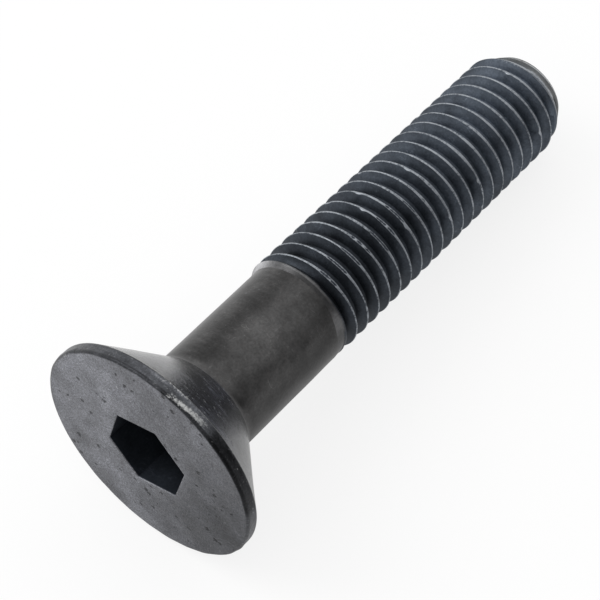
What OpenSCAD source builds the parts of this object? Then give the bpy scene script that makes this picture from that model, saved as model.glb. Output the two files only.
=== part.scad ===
// Countersunk screw with a hexagon socket, lying at rest on its rim and its thread.
// Lengths are in millimetres. The screw's own axis runs from the middle of the
// flat face, at 0, to the end of the thread.

/* [Screw] */
// Overall length, from the flat face to the end of the thread
screw_l = 60.4; // [52:0.1:90]

/* [Head] */
// Diameter of the head across its rim
head_d = 23.84; // [21:0.02:27]
// Height of the straight rim, up to the start of the cone
rim_h = 1.22; // [0.6:0.02:1.8]
// Width of the worn edge between the flat face and the rim
edge_w = 0.26; // [0.1:0.02:0.5]
// Full angle of the countersunk cone
cone_angle = 90; // [82:1:100]
// Radius of the hollow fillet between the cone and the shank
neck_r = 0.9; // [0.3:0.1:2]

/* [Socket] */
// Width across the flats of the hexagon socket
socket_af = 8.1; // [6:0.1:9]
// Depth of the socket's straight walls
socket_h = 5; // [3.5:0.1:6]
// Full angle of the drill point at the bottom of the socket
drill_angle = 120; // [100:5:150]

/* [Shank] */
// Diameter of the plain shank
shank_d = 11.2; // [10.6:0.1:11.4]

/* [Thread] */
// Outer diameter of the thread
thread_d = 11.7; // [11.5:0.02:12]
// Pitch of the thread
pitch = 1.75; // [1.25:0.25:2]
// Length of the thread, from the end of the plain shank to the end of the screw
thread_l = 38.4; // [20:0.2:46]
// Length of the tapered point
point_l = 2.5; // [1:0.1:4]
// Half angle of the tapered point
point_angle = 29; // [15:1:45]

/* [Hidden] */
steel = [0.27, 0.28, 0.31];
smooth = 96;
arc_steps = 5;
overcut = 1;

// Head, neck and shank, as radii and distances from the flat face
head_r = head_d / 2;
shank_r = shank_d / 2;
half_cone = cone_angle / 2;
cone_run = (head_r - shank_r) / tan(half_cone);
neck_reach = neck_r * tan(half_cone / 2);
neck_at = rim_h + cone_run;

// Socket. It is turned around the axis, from the side that the screw lies on, to
// the corners that the photographed screw shows
socket_r = socket_af / 2 / cos(30);
socket_turn = 12;
drill_r = socket_af / 2 - 0.1;
drill_h = drill_r / tan(drill_angle / 2);

// Thread profile of an ISO metric thread: flanks at 60 degrees, flat crest and root
thread_r = thread_d / 2;
crest_share = 1 / 8;
root_share = 1 / 4;
flank_share = (1 - crest_share - root_share) / 2;
thread_depth = pitch * flank_share * tan(60);
row_shares = [0, crest_share, crest_share + flank_share, 1 - flank_share];
row_depths = [0, 0, thread_depth, thread_depth];
columns = 36;

// Thread run. It starts a seam's width inside the shank's collar, where its groove
// deepens over the run-out, and ends at the flat end of the point
thread_at = screw_l - thread_l;
collar_l = 0.6;
collar_r = shank_r + 0.25;
seam = 0.1;
start_r = collar_r - seam;
start_slope = 0.5;
runout_l = 1.2 * pitch;
point_at = screw_l - point_l;
point_r = thread_r - point_l * tan(point_angle);

// Rows of points of the thread: four to a turn of the profile, from below its start
// to past its end. Points closer than merge to an end fall on the ring there
first_crest = 0.32;
spare_turns = 2;
row_first = thread_at + first_crest - spare_turns * pitch;
row_count = 4 * ceil((screw_l - row_first) / pitch + 1);
merge = 0.04;

// Rest pose: the screw lies on its rim and on the last full crest of the thread
crest_last = row_first + pitch * (crest_share + floor((point_at - row_first) / pitch - crest_share));
tilt = atan((head_r - thread_r) / (crest_last - rim_h));
low_at = rim_h * sin(tilt) + head_r * cos(tilt);
back_x = -(head_r - edge_w) * sin(tilt);
front_x = screw_l * cos(tilt) + point_r * sin(tilt);

// Points of an arc about a centre, from one angle to another
function arc(centre, r, from, to) =
    [for (i = [0:arc_steps])
        let (a = from + (to - from) * i / arc_steps)
        centre + r * [cos(a), sin(a)]];

// Largest radius that the thread may have at a distance from the face
function crest_r(at) =
    min(thread_r, start_r + max(0, at - thread_at) * start_slope,
        thread_r - (at - point_at) * tan(point_angle));

// Share of the full depth that the groove has where it runs out at the shank
function groove_share(at) = min(1, max(0, (at - thread_at) / runout_l));

// Distance from the face of a row of the thread in a column, and its radius there
function row_at(row, column) =
    row_first + pitch * (floor(row / 4) + row_shares[row % 4] + column / columns);
function row_r(row, at) =
    min(crest_r(at), thread_r - row_depths[row % 4] * groove_share(at));

// A row beyond either end of the thread falls together with the ring there
function row_level(row, column) =
    let (at = row_at(row, column))
    at < thread_at - seam + merge ? -1 : at > screw_l - merge ? row_count : row;

// Number of a point: the start ring, the rows and the end ring follow each other
function point_id(row, column) =
    let (turned = column >= columns)
    let (c = turned ? column - columns : column)
    let (r = turned ? row + 4 : row)
    (row_level(r, c) + 1) * columns + c;

function ring(r, at) =
    [for (c = [0:columns - 1]) [r * cos(360 * c / columns), r * sin(360 * c / columns), at]];

function thread_points() = concat(
    ring(start_r, thread_at - seam),
    [for (row = [0:row_count - 1], c = [0:columns - 1])
        let (at = row_at(row, c))
        let (r = row_r(row, at))
        [r * cos(360 * c / columns), r * sin(360 * c / columns), at]],
    ring(point_r, screw_l));

// Two triangles for each cell between neighbouring rows and columns
function thread_faces() =
    [for (row = [0:row_count - 1], c = [0:columns - 1])
        let (a = point_id(row, c), b = point_id(row, c + 1))
        let (d = point_id(row + 1, c), e = point_id(row + 1, c + 1))
        each [if (a != b && b != e && a != e) [a, e, b], if (a != e && e != d && a != d) [a, d, e]]];

function start_face() = [[for (c = [0:columns - 1]) c]];
function end_face() = [[for (c = [columns - 1:-1:0]) (row_count + 1) * columns + c]];

// Head, neck, shank and collar are one turned profile
module turned_body() {
    neck_centre = [shank_r + neck_r, neck_at + neck_reach];
    rotate_extrude($fn = smooth)
        polygon(concat(
            [[0, 0], [head_r - edge_w, 0], [head_r, edge_w], [head_r, rim_h]],
            arc(neck_centre, neck_r, 180 + half_cone, 180),
            [[shank_r, thread_at - collar_l], [collar_r, thread_at], [0, thread_at]]));
}

module thread() {
    polyhedron(points = thread_points(), faces = concat(thread_faces(), start_face(), end_face()));
}

// Hexagon socket with the cone of its drilled hole, as the shape to cut
module socket_cut() {
    rotate([0, 0, socket_turn])
        translate([0, 0, -overcut])
            cylinder(r = socket_r, h = socket_h + overcut, $fn = 6);
    translate([0, 0, socket_h - overcut])
        cylinder(r = drill_r, h = overcut, $fn = smooth);
    translate([0, 0, socket_h])
        cylinder(r1 = drill_r, r2 = 0, h = drill_h, $fn = smooth);
}

module upright_screw() {
    difference() {
        union() {
            turned_body();
            thread();
        }
        socket_cut();
    }
}

// The side of the screw at angle 0 lies underneath
module screw() {
    color(steel)
        translate([-(back_x + front_x) / 2, 0, low_at])
            rotate([0, 90 + tilt, 0])
                upright_screw();
}

screw();
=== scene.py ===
import math

import bpy
import numpy as np
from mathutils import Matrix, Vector


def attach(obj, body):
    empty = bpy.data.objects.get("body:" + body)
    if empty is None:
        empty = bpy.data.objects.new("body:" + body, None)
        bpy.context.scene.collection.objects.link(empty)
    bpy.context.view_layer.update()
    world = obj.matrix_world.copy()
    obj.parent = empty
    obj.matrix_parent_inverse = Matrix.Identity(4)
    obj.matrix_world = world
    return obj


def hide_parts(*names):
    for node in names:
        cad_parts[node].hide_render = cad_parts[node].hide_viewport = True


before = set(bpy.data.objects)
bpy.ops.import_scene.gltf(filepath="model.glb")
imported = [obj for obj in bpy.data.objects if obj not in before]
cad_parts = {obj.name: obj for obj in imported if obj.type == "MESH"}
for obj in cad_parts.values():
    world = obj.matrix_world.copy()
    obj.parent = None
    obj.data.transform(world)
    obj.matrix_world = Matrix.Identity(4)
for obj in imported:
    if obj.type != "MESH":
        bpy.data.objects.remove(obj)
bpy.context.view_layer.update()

MM = 0.001
TURN = 2 * math.pi
rng = np.random.default_rng(12)

# Screw, in millimetres, with distances along its own axis from the flat face
LENGTH = 60.4
HEAD_R = 11.92
RIM_H = 1.22
EDGE_W = 0.26
CORNER_W = 0.12
NECK_R = 0.9
SOCKET_AF = 8.1
SOCKET_H = 5.0
SOCKET_TURN = math.radians(12)
MOUTH_OUT = 0.07
DRILL_R = SOCKET_AF / 2 - 0.1
DRILL_H = DRILL_R / math.tan(math.radians(60))
SHANK_R = 5.57
SHANK_SHIFT = (0.05, -0.14)
THREAD_R = 5.85
PITCH = 1.75
THREAD_AT = 22.0
FLANK_SHARE = 0.3125
THREAD_DEPTH = PITCH * FLANK_SHARE * math.tan(math.radians(60))
COLLAR_L = 0.6
COLLAR_RISE = 0.06
COLLAR_BULGE = 0.22
RUNOUT_L = 0.5 * PITCH
START_SLOPE = 0.4
POINT_L = 2.5
POINT_AT = LENGTH - POINT_L
POINT_SLOPE = math.tan(math.radians(29))
POINT_R = THREAD_R - POINT_L * POINT_SLOPE
POINT_HOLLOW = 0.25
FIRST_CREST = 0.32
CREST_SHARE = 0.125

# Unevenness of the surfaces and depth of their wear, in millimetres
FACE_UNEVEN = 0.012
EDGE_UNEVEN = 0.02
RIM_UNEVEN = 0.012
CONE_UNEVEN = 0.008
SHANK_UNEVEN = 0.006
SCUFF_UNEVEN = 0.03
SCUFF_DEPTH = 0.03
SLIT_DEPTH = 0.06

# Rest pose, as in the CAD part: on the rim and on the last full crest
row_first = THREAD_AT + FIRST_CREST - 2 * PITCH
crest_last = row_first + PITCH * (
    CREST_SHARE + math.floor((POINT_AT - row_first) / PITCH - CREST_SHARE))
tilt = math.atan((HEAD_R - THREAD_R) / (crest_last - RIM_H))
along = np.array([math.cos(tilt), 0, -math.sin(tilt)])
down = np.array([-math.sin(tilt), 0, -math.cos(tilt)])
side = np.array([0, 1, 0])
back_x = -(HEAD_R - EDGE_W) * math.sin(tilt)
front_x = LENGTH * math.cos(tilt) + POINT_R * math.sin(tilt)
face_centre = np.array([
    -(back_x + front_x) / 2, 0, RIM_H * math.sin(tilt) + HEAD_R * math.cos(tilt)])

# Columns round the axis. The first one runs through a corner of the socket
COLUMNS = 216
angle = SOCKET_TURN + TURN * np.arange(COLUMNS) / COLUMNS


def smooth(x, low, high):
    """0 below low, 1 above high, and a soft step between them."""
    step = np.clip((x - low) / (high - low), 0, 1)
    return step * step * (3 - 2 * step)


def fading(x, low, high):
    """1 below low, 0 above high, and a soft step between them."""
    return smooth(-x, -high, -low)


def bell(away, width):
    """1 at no distance away, falling off softly over a width to either side."""
    return np.exp(-(away / width) ** 2)


def blend(a, b, share):
    """A mix of two zones or values, with a share of the second one."""
    return a * (1 - share) + b * share


def patch(centre, half_width):
    """1 at an angle round the axis, falling to 0 at half_width on either side, in degrees.

    An angle of 0 is the underside, and the camera faces about 203."""
    away = np.abs(np.mod(np.degrees(angle) - centre + 180, 360) - 180)
    return smooth(half_width - away, 0, half_width)


def waves(x, y, count, x_top, y_top, whole=True):
    """Seeded unevenness of about -1 to 1: a sum of waves in random directions.

    The tops are the most radians a unit of x or y. Whole waves close round the axis."""
    total = np.zeros(np.broadcast(x, y).shape)
    for _ in range(count):
        kx = rng.uniform(-x_top, x_top)
        if whole:
            kx = round(kx)
        total = total + np.cos(kx * x + rng.uniform(-y_top, y_top) * y + rng.uniform(0, TURN))
    return total / math.sqrt(count)


def row_waves(rows, count, x_top, y_top):
    """Unevenness for a number of rings, in rows with one value a column."""
    return waves(angle[None, :], np.arange(rows)[:, None], count, x_top, y_top)


def tinted(zone, factor):
    """A zone for each column, with its colour lighter or darker by a factor."""
    made = np.array(np.broadcast_to(zone, (COLUMNS, len(FACE))))
    made[:, :3] *= np.broadcast_to(factor, COLUMNS)[:, None]
    return made


# Zones of the coated steel: red, green, blue, roughness, pits, turning marks, bright specks
FACE = np.array((0.172, 0.176, 0.193, 0.42, 1.0, 0.0, 0.3))
RIM = np.array((0.083, 0.086, 0.095, 0.32, 0.6, 0.6, 0.4))
CONE = np.array((0.115, 0.116, 0.121, 0.08, 0.4, 0.8, 0.3))
# Painted shade: a darker cone colour for the side that faces the camera, which is also more specked
CONE_SHADE_AND_SPECKS = np.array((0.085, 0.090, 0.112, 0.11, 0.4, 0.8, 1.0))
SHANK = np.array((0.078, 0.077, 0.077, 0.33, 0.0, 0.12, 0.1))
COLLAR = np.array((0.080, 0.080, 0.082, 0.33, 0.0, 0.2, 0.1))
# The thread is painted darker near the head and lighter towards the point: painted shade and painted light
THREAD = np.array((0.045, 0.052, 0.063, 0.40, 0.0, 0.0, 0.15))
THREAD_END = np.array((0.088, 0.104, 0.128, 0.42, 0.0, 0.0, 0.15))
POINT = np.array((0.096, 0.103, 0.108, 0.40, 0.2, 0.2, 0.3))
# The socket's colour is far darker than the coating elsewhere: painted shade in the recess
SOCKET = np.array((0.027, 0.032, 0.041, 0.70, 0.0, 0.0, 0.0))

# Place of the turning marks in a zone
MARKS = 5

# Bare steel, where the coating is worn away
BARE = (0.35, 0.375, 0.41, 1.0)
BARE_HEAD = (0.56, 0.565, 0.565, 1.0)

points = []
zones = []
wears = []
rings = []


def ring(r, s, zone, wear=0.0, off=0.0):
    """A closed ring of points, as radius and distance from the face, with its zone and wear.

    It is moved off the axis by off times the shank's own shift."""
    r = np.broadcast_to(np.asarray(r, float), COLUMNS)
    s = np.broadcast_to(np.asarray(s, float), COLUMNS)
    rings.append(len(points) + np.arange(COLUMNS))
    for i in range(COLUMNS):
        points.append((r[i] * math.cos(angle[i]) + off * SHANK_SHIFT[0],
                       r[i] * math.sin(angle[i]) + off * SHANK_SHIFT[1], s[i]))
    zones.extend(np.broadcast_to(zone, (COLUMNS, len(FACE))))
    wears.extend(np.broadcast_to(np.asarray(wear, float), COLUMNS))


# Socket, from the tip of the drill cone out to its mouth
DRILL_ROWS = (0.05, 0.3, 0.6, 0.9, 1.0)
WALL_ROWS = (4.95, 4.4, 3.7, 3.0, 2.3, 1.7, 1.1, 0.6, 0.3)
WALL_FOOT = 0.05
MOUTH_ROWS = ((0.0, 0.12, SOCKET, 0.0), (0.02, 0.04, FACE, 0.25), (MOUTH_OUT, 0.0, FACE, 0.25))
hexagon = 1 / np.cos(np.mod(angle - SOCKET_TURN, TURN / 6) - TURN / 12)
for share in DRILL_ROWS:
    ring(DRILL_R * share, SOCKET_H + DRILL_H * (1 - share), SOCKET)
ring(hexagon * (SOCKET_AF / 2 - WALL_FOOT), SOCKET_H, SOCKET)
for s in WALL_ROWS:
    ring(hexagon * SOCKET_AF / 2, s, SOCKET)
for out, s, zone, wear in MOUTH_ROWS:
    ring(hexagon * (SOCKET_AF / 2 + out), s, zone, wear)

# Flat face, a little uneven, painted lighter to one side and darker to the other: painted light and painted
# shade
FACE_ROWS = 40
face_r = HEAD_R - EDGE_W
mouth = hexagon * (SOCKET_AF / 2 + MOUTH_OUT)
face_waves = row_waves(FACE_ROWS, 14, 7, 0.35)
face_painted_shading = 1 + 0.25 * patch(115, 85) - 0.6 * patch(290, 95)
for i in range(1, FACE_ROWS):
    share = i / FACE_ROWS
    ring(mouth + (face_r - mouth) * share, FACE_UNEVEN * face_waves[i] * math.sin(math.pi * share),
         tinted(FACE, 1 + (face_painted_shading - 1) * smooth(share, -0.5, 0.7)))

# Wear of the rim: rubbed all round, scuffed on a slant in one place, and worn at the corner
SCUFF_S = 0.38
SCUFF_SLANT = 0.02
SCUFF_FROM = 196
SCUFF_WIDTH = 0.28
PALE_WIDTH = 0.4
CORNER_BAND = (0.7, 1.0)
rubbed = smooth(waves(angle, 0, 9, 60, 0), -0.6, 1.2)
scuff = np.sqrt(patch(201, 14))
scuff_s = SCUFF_S + SCUFF_SLANT * (np.degrees(angle) - SCUFF_FROM)
corner_worn = patch(188, 28)
# A painted shadow line along the corner between rim and cone, round 171 degrees
corner_painted_shade = patch(171, 26)
corner_wear = 0.3 * corner_worn
# The rim is painted lighter round 108 degrees and darker round 160 and 237: painted light and painted shade
rim_painted_shading = 1 + 0.3 * patch(108, 30) - 0.15 * patch(160, 30) - 0.7 * smooth(patch(237, 27), 0, 0.15)


def rim_wear(s):
    """Wear of the rim: the scuff, and a band beside the corner."""
    return (0.1 * rubbed + 0.9 * scuff * bell(s - scuff_s, SCUFF_WIDTH)
            + 0.2 * corner_worn * smooth(s, *CORNER_BAND))


def rim_zone(s):
    """The rim's zone, with its painted light and shade, paler round the scuff and beside the corner."""
    return tinted(RIM, rim_painted_shading * (1 + 0.5 * scuff * bell(s - scuff_s, PALE_WIDTH)
                                   + 0.8 * corner_worn * smooth(s, *CORNER_BAND)))


# Worn edge between the face and the rim
EDGE_STEPS = 5
edge_shift = EDGE_UNEVEN * waves(angle, 0, 16, 40, 0)
edge_wear = (0.1 + 0.3 * patch(135, 60)) * rubbed * (1 - scuff)
# The edge is painted darker than the rim, most of all round 195 degrees: painted shade
edge_shaded_zone = tinted(RIM, rim_painted_shading * (0.6 - 0.2 * patch(195, 50)))
for i in range(EDGE_STEPS + 1):
    turn = math.pi / 2 * i / EDGE_STEPS
    s = EDGE_W * (1 - math.cos(turn))
    ring(HEAD_R - EDGE_W * (1 - math.sin(turn)) + edge_shift, s,
         blend(tinted(FACE, face_painted_shading), edge_shaded_zone, smooth(i, -0.5, 1.5)),
         edge_wear if i < EDGE_STEPS / 2 else rim_wear(s))

# Straight rim, and two rings that round its corner to the cone
RIM_ROWS = 7
rim_waves = row_waves(RIM_ROWS, 20, 50, 1.2)
for i in range(1, RIM_ROWS):
    s = EDGE_W + (RIM_H - EDGE_W) * i / RIM_ROWS
    ring(HEAD_R + (RIM_UNEVEN + SCUFF_UNEVEN * scuff) * rim_waves[i] - SCUFF_DEPTH * scuff, s,
         rim_zone(s), rim_wear(s))
# The corner rings are painted darker round 171 degrees, a painted shadow line, and are less worn there
ring(HEAD_R - 0.01, RIM_H - 0.03, tinted(rim_zone(RIM_H), 1 - 0.6 * corner_painted_shade),
     0.15 + corner_wear - 0.1 * corner_painted_shade)
ring(HEAD_R - 0.05, RIM_H + 0.06, tinted(CONE, 1 - 0.6 * corner_painted_shade),
     0.2 + corner_wear - 0.15 * corner_painted_shade)

# Cone and neck fillet, with a light line where they meet
CONE_ROWS = 26
NECK_STEPS = 8
NECK_LINE = 2
neck_reach = NECK_R * math.tan(math.pi / 8)
neck_end = RIM_H + HEAD_R - SHANK_R + neck_reach
cone_r0 = HEAD_R - CORNER_W
cone_r1 = SHANK_R + neck_reach * math.sin(math.pi / 4)
cone_waves = row_waves(CONE_ROWS, 26, 40, 0.3)
# The cone is painted darker round 206 degrees, painted shade, where it also has more specks
cone_zone = blend(CONE, CONE_SHADE_AND_SPECKS, patch(206, 34)[:, None])
# The cone's first rows are painted darker near the corner: the painted shadow line
for i in range(CONE_ROWS):
    r = cone_r0 + (cone_r1 - cone_r0) * i / CONE_ROWS
    fade = math.sin(math.pi * i / CONE_ROWS)
    ring(r + CONE_UNEVEN * cone_waves[i] * fade, RIM_H + HEAD_R - r,
         tinted(cone_zone, 1 - 0.7 * corner_painted_shade * fading(i, 0, 4)),
         corner_wear * (i == 0), float(smooth(i / CONE_ROWS, 0.2, 1)))
for i in range(NECK_STEPS + 1):
    turn = math.radians(225) - math.radians(45) * i / NECK_STEPS
    ring(SHANK_R + NECK_R * (1 + math.cos(turn)), neck_end + NECK_R * math.sin(turn),
         blend(cone_zone, SHANK, smooth(i, 0, 3)), 0.3 if i == NECK_LINE else 0.0, 1.0)

# Lighter and darker patches on the shank, painted light and painted shade: angle and reach in degrees,
# distance and reach along in mm, amount
SHANK_PAINTED_SHADING = (
    (200, 40, 13.5, 5.5, 0.3),
    (225, 60, 20.2, 1.5, -0.3),
    (165, 25, 14.0, 12.0, -0.55),
    (185, 30, 9.5, 2.5, -0.25),
    (250, 25, 15.0, 12.0, -0.4),
    (218, 30, 15.0, 7.0, 0.3),
    (120, 20, 15.0, 30.0, 0.6))

# Plain shank, up to the collar
SHANK_ROWS = 36
shank_waves = row_waves(SHANK_ROWS, 20, 9, 0.5)
collar_l = COLLAR_L * (1 + 0.9 * patch(262, 60))
for i in range(1, SHANK_ROWS + 1):
    s = neck_end + (THREAD_AT - collar_l - neck_end) * i / SHANK_ROWS
    tint = 1 + sum(amount * patch(at, reach) * bell(s - s_at, s_reach)
                   for at, reach, s_at, s_reach, amount in SHANK_PAINTED_SHADING)
    shank_zone = tinted(SHANK, tint)
    shank_zone[:, MARKS] += 0.4 * patch(148, 34)
    ring(SHANK_R + SHANK_UNEVEN * shank_waves[i - 1] * (i < SHANK_ROWS), s, shank_zone, 0.0, 1.0)

# Collar, painted lighter and darker round the axis, with a painted light line at its edge: painted
# highlights and painted shade. It ends in the ring where the thread begins
COLLAR_ROWS = (0.1, 0.4, 0.65, 0.8, 1.0)
COLLAR_EDGE_FROM = 0.7
collar_r = SHANK_R + COLLAR_RISE + COLLAR_BULGE * patch(120, 110)
collar_painted_shading = (1 + 4.2 * patch(120, 34) - 0.45 * patch(184, 34) + 0.6 * patch(236, 22)
               - 0.25 * patch(264, 34))
for share in COLLAR_ROWS:
    at_edge = share > COLLAR_EDGE_FROM
    ring(SHANK_R + (collar_r - SHANK_R) * smooth(share, -0.1, 1.1), THREAD_AT - collar_l * (1 - share),
         tinted(COLLAR, collar_painted_shading + 0.9 * patch(195, 60) * at_edge), 0.15 * at_edge, 1.0 - share)

# Profile of the thread, in shares of a turn from the middle of the crest
PROFILE = np.array([-0.09, -0.072, -0.014, 0.014, 0.072, 0.09, 0.22, 0.375, 0.5, 0.625, 0.78])
CREST_EDGE = 0.1
CREST_TOP = 0.08
CREST_MIDDLE = 0.03

# Thread: rows of the profile, sheared along the helix so that each runs on into the next turn
turns = math.ceil((LENGTH - row_first) / PITCH) + 1
turn_no = np.repeat(np.arange(turns), len(PROFILE))
profile = np.tile(PROFILE, turns)[:, None]
at_crest = np.abs(profile) < CREST_EDGE
on_crest = np.abs(profile) < CREST_TOP
middle = np.abs(profile) < CREST_MIDDLE
helix = turn_no[:, None] + angle[None, :] / TURN
crest_s = row_first + PITCH * (CREST_SHARE / 2 + helix)


def helix_waves(count, top):
    """Unevenness along the helix, with up to top radians a turn. It doesn't have to close."""
    return waves(helix, 0, count, top, 0, whole=False)


# The crest is folded into two lines in places, up to some distance from the thread's start
FOLD_AT = 201
FOLD_WANDER = 4
FOLD_REACH = 13
FOLDS_FADE = (THREAD_AT + 8, THREAD_AT + 20)
started = smooth(crest_s, THREAD_AT + 0.3, THREAD_AT + 0.9)
fold_away = np.degrees(angle)[None, :] - FOLD_AT - FOLD_WANDER * helix_waves(8, 3)
fold = fading(crest_s, *FOLDS_FADE) * started * smooth(FOLD_REACH - np.abs(fold_away), 0, 3)
slit = fold * smooth(helix_waves(20, 240), -0.9, -0.2)

# The crest's width wanders, and is greatest on the side that faces the camera
facing = patch(205, 45)[None, :]
spread = 1 + at_crest * (0.12 * helix_waves(24, 60) - 0.3 + 0.3 * facing + 0.25 * fold)
s_grid = crest_s + PITCH * profile * spread

# The last crest is smeared over its groove, towards the end of the point
past = s_grid - crest_s
on_last = (crest_s > POINT_AT) * (crest_s < POINT_AT + 1) * smooth(patch(195, 70), 0, 0.4)
land = on_last * patch(208, 32) * smooth(past, 0, 0.1) * fading(past, 0.7, 1.0)
broad = smooth(np.degrees(angle), 183, 198)
smear = (on_last * (0.85 + 0.4 * patch(176, 30))
         * bell(past - 0.15 - 0.3 * broad, 0.25 + 0.05 * broad))

# Radius of the thread: the profile's depth, limited by the run-out, the collar and the point
to_crest = np.abs(np.mod(profile + 0.5, 1) - 0.5)
depth = THREAD_DEPTH * np.clip((to_crest - CREST_SHARE / 2) / FLANK_SHARE, 0, 1)
grooved = np.clip((s_grid - THREAD_AT) / RUNOUT_L, 0, 1)
crest_limit = np.minimum(collar_r[None, :] + np.maximum(s_grid - THREAD_AT, 0) * START_SLOPE,
                         np.minimum(THREAD_R, THREAD_R - (s_grid - POINT_AT) * POINT_SLOPE))
full_r = THREAD_R - depth * grooved * (1 - land)
r_grid = np.minimum(crest_limit, full_r) - SLIT_DEPTH * slit * middle

# Wear of the crests, more on the side that faces the camera, a painted highlight, and less round 250
# degrees, painted shade
wear_and_sheen_grid = on_crest * started * (0.76 + 0.1 * helix_waves(30, 50) + 0.12 * facing
                                  + 0.06 * helix_waves(30, 250) + 0.1 * fold
                                  - 0.1 * patch(250, 40)[None, :]) - 1.1 * slit * middle
wear_and_sheen_grid = wear_and_sheen_grid * (1 - on_last * at_crest) + smear

# Nicks push the crest's edge over towards the head. Their place and reach are in turns
NICKS = 30
NICKS_FROM = 3.7
NICK_REACH = (0.004, 0.01)
NICK_DEPTH = (0.02, 0.05)
NICK_PUSH = (0.08, 0.18)
for _ in range(NICKS):
    at = rng.uniform(NICKS_FROM, turns - 2)
    near = bell(helix - at, rng.uniform(*NICK_REACH))
    r_grid = r_grid - rng.uniform(*NICK_DEPTH) * near * on_crest
    s_grid = s_grid - rng.uniform(*NICK_PUSH) * near * at_crest * (profile < 0)
    wear_and_sheen_grid = wear_and_sheen_grid + 0.3 * near * on_crest

# Roots are painted darker than crests up to this share of the thread, painted shade, and lighter beyond it,
# painted light
ROOTS_EVEN_AT = 0.4

# Points of the thread. Rows that fall on either end of it take the points of the ring there
MERGE = 0.04
POINT_ZONE_FADE = (POINT_AT + 0.8, POINT_AT + 1.4)
start_ring = rings[-1]
body_rings = list(rings)
# The point is painted darker round 222 and 255 degrees: painted shade
point_shaded_zone = tinted(POINT, 1 - 0.45 * patch(222, 28) - 0.5 * patch(255, 40))
ring(POINT_R, LENGTH, point_shaded_zone, 0.2)
end_ring = rings[-1]
root_share = depth / THREAD_DEPTH
index = np.zeros(s_grid.shape, int)
for row in range(len(turn_no)):
    for col in range(COLUMNS):
        s = s_grid[row, col]
        if s < THREAD_AT + MERGE:
            index[row, col] = start_ring[col]
        elif s > LENGTH - MERGE:
            index[row, col] = end_ring[col]
        else:
            r = r_grid[row, col]
            index[row, col] = len(points)
            points.append((r * math.cos(angle[col]), r * math.sin(angle[col]), s))
            share = (s - THREAD_AT) / (LENGTH - THREAD_AT)
            zone = blend(THREAD, THREAD_END, share)
            zone[:3] *= 1 + (share - ROOTS_EVEN_AT) * root_share[row, 0]
            zones.append(blend(zone, point_shaded_zone[col], float(smooth(s, *POINT_ZONE_FADE))))
            wears.append(float(wear_and_sheen_grid[row, col]))

faces = []


def strip(lower, upper):
    """Faces between two rows of points, which run one column on past their own end."""
    for a, b, c, d in zip(lower[:-1], lower[1:], upper[1:], upper[:-1]):
        corners = []
        for corner in (a, b, c, d):
            if corner not in corners:
                corners.append(int(corner))
        if len(corners) > 2:
            faces.append(corners)


def skin(around):
    """Faces between rings that follow one another."""
    for lower, upper in zip(around[:-1], around[1:]):
        strip(np.append(lower, lower[0]), np.append(upper, upper[0]))


skin(body_rings)
rows_a_turn = len(PROFILE)
for row in range(len(turn_no) - rows_a_turn - 1):
    strip(np.append(index[row], index[row + rows_a_turn, 0]),
          np.append(index[row + 1], index[row + 1 + rows_a_turn, 0]))

# End of the point, a little hollow, and the points that close the skin at either end
HOLLOW_ROWS = (0.9, 0.7, 0.4, 0.1)
for share in HOLLOW_ROWS:
    ring(POINT_R * share, LENGTH - POINT_HOLLOW * (1 - share ** 2), POINT)
skin(rings[len(body_rings):])
for cap, s in ((rings[-1], LENGTH - POINT_HOLLOW), (body_rings[0][::-1], SOCKET_H + DRILL_H)):
    tip = len(points)
    points.append((0.0, 0.0, s))
    zones.append(POINT)
    wears.append(0.0)
    for a, b in zip(cap, np.roll(cap, -1)):
        faces.append([int(a), int(b), tip])

# The screw's mesh, in its rest pose, with what the material reads at each point
MOST_WEAR = 1.2
SHARP_ANGLE = math.radians(38)
local = np.array(points)
placed = face_centre + local[:, 2:3] * along + local[:, 0:1] * down + local[:, 1:2] * side
zone_table = np.array(zones)
traits_table = np.c_[zone_table[:, 4:], np.ones(len(points))]
mesh = bpy.data.meshes.new("screw_body")
mesh.from_pydata([tuple(p) for p in placed * MM], [], faces)
mesh.validate()
for name, kind, field, values in (
        ("tone", "FLOAT_COLOR", "color", zone_table[:, :4]),
        ("traits", "FLOAT_COLOR", "color", traits_table),
        ("wear", "FLOAT", "value", np.clip(np.array(wears), 0, MOST_WEAR))):
    mesh.attributes.new(name, kind, "POINT").data.foreach_set(field, values.ravel())
mesh.shade_smooth()
mesh.set_sharp_from_angle(angle=SHARP_ANGLE)
mesh.update()


def new_object(name, data):
    """A new object in the scene."""
    made = bpy.data.objects.new(name, data)
    bpy.context.scene.collection.objects.link(made)
    return made


screw = new_object("screw_body", mesh)


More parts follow.
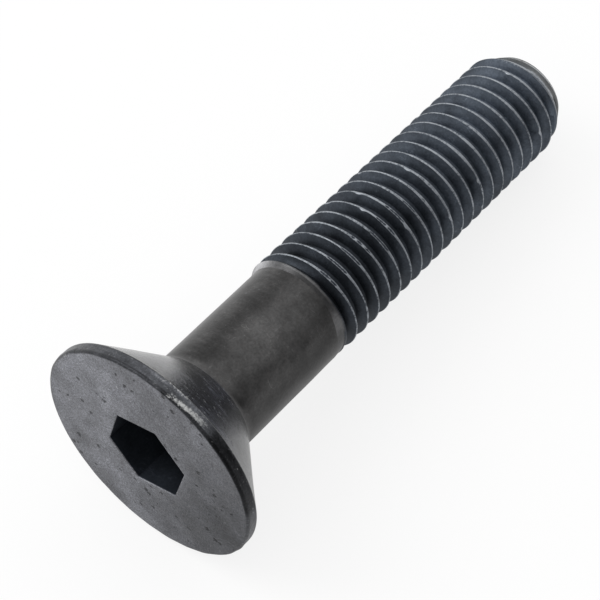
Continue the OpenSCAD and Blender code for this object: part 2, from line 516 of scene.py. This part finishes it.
class Nodes:
    """The node tree of a material or world, with short ways to add the nodes used here."""

    def __init__(self, owner):
        owner.use_nodes = True
        self.tree = owner.node_tree
        self.tree.nodes.clear()

    def node(self, kind, inputs=None, **props):
        """A new node, with its sockets set to values or linked from other nodes' sockets."""
        made = self.tree.nodes.new(kind)
        for name, value in props.items():
            setattr(made, name, value)
        for key, value in (inputs or {}).items():
            if isinstance(value, bpy.types.NodeSocket):
                self.tree.links.new(value, made.inputs[key])
            else:
                made.inputs[key].default_value = value
        return made

    def maths(self, operation, a, b):
        """The result of an operation on two values."""
        return self.node("ShaderNodeMath", {0: a, 1: b}, operation=operation).outputs[0]

    def add(self, total, *values):
        """Two or more values added up."""
        for value in values:
            total = self.maths("ADD", total, value)
        return total

    def multiply(self, product, *values):
        """Two or more values multiplied together."""
        for value in values:
            product = self.maths("MULTIPLY", product, value)
        return product

    def remap(self, value, low, high, to_low, to_high):
        """A value moved from one range to another, and kept inside it."""
        return self.node(
            "ShaderNodeMapRange", {0: value, 1: low, 2: high, 3: to_low, 4: to_high}).outputs[0]

    def vector(self, operation, *inputs):
        """The outputs of an operation on vectors."""
        return self.node("ShaderNodeVectorMath", dict(enumerate(inputs)), operation=operation).outputs

    def scaled(self, vector, factor):
        """A vector or colour times a factor."""
        return self.node("ShaderNodeVectorMath", {0: vector, "Scale": factor}, operation="SCALE").outputs[0]

    def mixed(self, factor, a, b):
        """A mix of two colours, with a factor for the second one."""
        return self.node(
            "ShaderNodeMix", {"Factor": factor, 6: a, 7: b}, data_type="RGBA").outputs[2]

    def noise(self, vector, scale, detail, **more):
        """The outputs of a noise texture: 0 is its value."""
        inputs = {"Vector": vector, "Scale": scale, "Detail": detail, **more}
        return self.node("ShaderNodeTexNoise", inputs).outputs

    def attribute(self, name):
        """The outputs of a node that reads what the mesh says at each point."""
        return self.node("ShaderNodeAttribute", attribute_name=name).outputs


# Blackened steel. Its textures are in millimetres
MARKS_SQUEEZE = 5.0
GRAIN_HEIGHT = 0.00006
steel = bpy.data.materials.new("blackened_steel")
coat = Nodes(steel)
place = coat.node("ShaderNodeTexCoord").outputs["Object"]
place = coat.node("ShaderNodeMapping", {"Vector": place, "Scale": (1 / MM, 1 / MM, 1 / MM)}).outputs[0]
grain = coat.noise(place, 4.0, 4.0, Roughness=0.65)[0]
cloud = coat.noise(place, 0.3, 5.0, Roughness=0.6)[0]
fine = coat.noise(place, 7.0, 2.0, Roughness=0.6)[0]
lines = coat.noise(place, 0.45, 1.0, Distortion=1.6)[0]
ragged = coat.vector("ADD", place, coat.scaled(coat.noise(place, 3.0, 2.0)["Color"], 0.5))[0]

# Turning marks: noise that is squeezed along the axis, so that it runs round it
axis = tuple(along)
squeeze = (MARKS_SQUEEZE, MARKS_SQUEEZE, MARKS_SQUEEZE)
on_axis = coat.scaled(axis, coat.vector("DOT_PRODUCT", place, axis)["Value"])
marks = coat.noise(coat.vector("MULTIPLY_ADD", on_axis, squeeze, place)[0], 0.5, 3.0)[0]

# Zone and wear at each point of the mesh
tone = coat.attribute("tone")
wear = coat.attribute("wear")["Fac"]
pitted, marked, specked = coat.node(
    "ShaderNodeSeparateColor", {0: coat.attribute("traits")["Color"]}).outputs


def dots(scale, rarest, largest):
    """Ragged spots of random size, fewer of them the larger rarest is: 1 inside a spot."""
    cells = coat.node("ShaderNodeTexVoronoi", {"Vector": ragged, "Scale": scale}).outputs
    luck = coat.node("ShaderNodeSeparateColor", {0: cells["Color"]}).outputs[0]
    size = coat.remap(luck, rarest, 1.0, 0.0, largest)
    return coat.remap(coat.maths("SUBTRACT", size, cells["Distance"]), 0.0, 0.04, 0.0, 1.0)


# Shade of the coating, with the pits painted darker inside: painted shade
pit = coat.multiply(dots(1.1, 0.3, 0.32), pitted)
speck = coat.multiply(dots(2.1, 0.05, 0.4), specked)
ridge = coat.maths("ABSOLUTE", coat.maths("SUBTRACT", lines, 0.5), 0.0)
scratch = coat.multiply(
    coat.remap(ridge, 0.002, 0.008, 1.0, 0.0), coat.remap(cloud, 0.5, 0.6, 0.0, 1.0))
banding = coat.multiply(coat.remap(marks, 0.35, 0.65, -0.35, 0.35), marked)
sand = coat.multiply(coat.remap(fine, 0.35, 0.65, -0.35, 0.35), pitted)
shade = coat.multiply(
    coat.remap(cloud, 0.35, 0.65, 0.7, 1.3),
    coat.remap(grain, 0.3, 0.7, 0.8, 1.2),
    coat.add(banding, 1.0),
    coat.add(sand, 1.0),
    coat.remap(scratch, 0.0, 1.0, 1.0, 1.6),
    coat.remap(pit, 0.0, 1.0, 1.0, 0.3))
coated = coat.scaled(tone["Color"], shade)

# Wear, broken up by the grain, the marks and the specks, and the bare steel that it shows
worn = coat.add(
    wear,
    coat.remap(grain, 0.3, 0.7, -0.3, 0.3),
    coat.remap(fine, 0.3, 0.7, -0.17, 0.17),
    coat.multiply(banding, 0.7),
    coat.multiply(speck, 0.5))
worn = coat.remap(worn, 0.35, 0.9, 0.0, 1.0)
bare = coat.mixed(coat.multiply(pitted, 2.5), BARE, BARE_HEAD)
colour = coat.mixed(worn, coated, bare)

# Roughness, relief and shader
dulled = coat.maths("MAXIMUM", coat.remap(marks, 0.4, 0.7, 0.0, 0.25), coat.multiply(speck, 0.3))
rough = coat.add(
    tone["Alpha"], coat.remap(cloud, 0.3, 0.7, -0.05, 0.07), coat.multiply(dulled, specked))
height = coat.add(
    coat.maths("SUBTRACT", grain, coat.multiply(pit, 2.0)), coat.multiply(worn, 0.3))
strength = coat.remap(pitted, 0.0, 1.0, 0.2, 1.0)
bump = coat.node(
    "ShaderNodeBump", {"Height": height, "Strength": strength, "Distance": GRAIN_HEIGHT}).outputs[0]
shader = coat.node("ShaderNodeBsdfPrincipled", {
    "Base Color": colour, "Roughness": rough, "Metallic": 0.9, "Normal": bump}).outputs[0]
coat.node("ShaderNodeOutputMaterial", {"Surface": shader})
mesh.materials.append(steel)

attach(screw, "root")
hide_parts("screw")

# Floor of lit paper mixed with plain white, most of all to the camera, so the shadow stays faint
FLOOR_SIZE = 12.0
WHITE_SEEN = 0.78
WHITE_MIRRORED = 0.35
half = FLOOR_SIZE / 2
floor_mesh = bpy.data.meshes.new("floor")
floor_mesh.from_pydata(
    [(-half, -half, 0), (half, -half, 0), (half, half, 0), (-half, half, 0)], [], [(0, 1, 2, 3)])
floor = new_object("floor", floor_mesh)
floor_material = bpy.data.materials.new("floor")
ground = Nodes(floor_material)
ray = ground.node("ShaderNodeLightPath").outputs
straight = ground.maths("MAXIMUM", ray["Is Camera Ray"], ray["Is Transmission Ray"])
seen = ground.maths("MAXIMUM", ground.multiply(straight, WHITE_SEEN),
                    ground.multiply(ray["Is Glossy Ray"], WHITE_MIRRORED))
paper = ground.node("ShaderNodeBsdfDiffuse", {"Color": (0.85, 0.85, 0.85, 1)}).outputs[0]
white = ground.node("ShaderNodeEmission", {"Color": (1, 1, 1, 1), "Strength": 1.05}).outputs[0]
surface = ground.node("ShaderNodeMixShader", {0: seen, 1: paper, 2: white}).outputs[0]
ground.node("ShaderNodeOutputMaterial", {"Surface": surface})
floor_mesh.materials.append(floor_material)

# Studio: light walls on one side, and darker ones on the other
LIGHT_SIDE = (0.0, 0.8, 0.35)
DARK_WALL = 0.22
LIGHT_WALL = 1.05
studio = bpy.data.worlds.new("studio")
bpy.context.scene.world = studio
walls = Nodes(studio)
outward = walls.node("ShaderNodeTexCoord").outputs["Generated"]
lightward = walls.vector("DOT_PRODUCT", outward, LIGHT_SIDE)["Value"]
level = walls.remap(lightward, -0.55, 0.45, DARK_WALL, LIGHT_WALL)
sky = walls.node("ShaderNodeBackground", {"Color": (1, 1, 1, 1), "Strength": level}).outputs[0]
walls.node("ShaderNodeOutputWorld", {"Surface": sky})

# One large soft lamp, aimed at the origin
LAMP_AT = Vector((-0.4, 0.8, 0.9))
lamp_data = bpy.data.lights.new("key", "AREA")
lamp_data.shape = "DISK"
lamp_data.size = 0.8
lamp_data.energy = 4.0
lamp = new_object("key", lamp_data)
lamp.location = LAMP_AT
lamp.rotation_euler = (-LAMP_AT).to_track_quat("-Z", "Y").to_euler()

# Camera at the photograph's viewing angle, with its distances in millimetres
AIM = Vector((-6.842, 0.505, 9.739))
AZIMUTH = math.radians(-141.224)
ELEVATION = math.radians(57.622)
DISTANCE = 182.89
LENS = 113.89
towards = Vector((math.cos(ELEVATION) * math.cos(AZIMUTH), math.cos(ELEVATION) * math.sin(AZIMUTH),
                  math.sin(ELEVATION)))
camera_data = bpy.data.cameras.new("camera")
camera_data.lens = LENS
camera_data.sensor_width = 36
camera_data.clip_start = 0.01
camera = new_object("camera", camera_data)
camera.location = (AIM + towards * DISTANCE) * MM
camera.rotation_euler = (-towards).to_track_quat("-Z", "Y").to_euler()
bpy.context.scene.camera = camera
bpy.context.scene.view_settings.view_transform = "Standard"
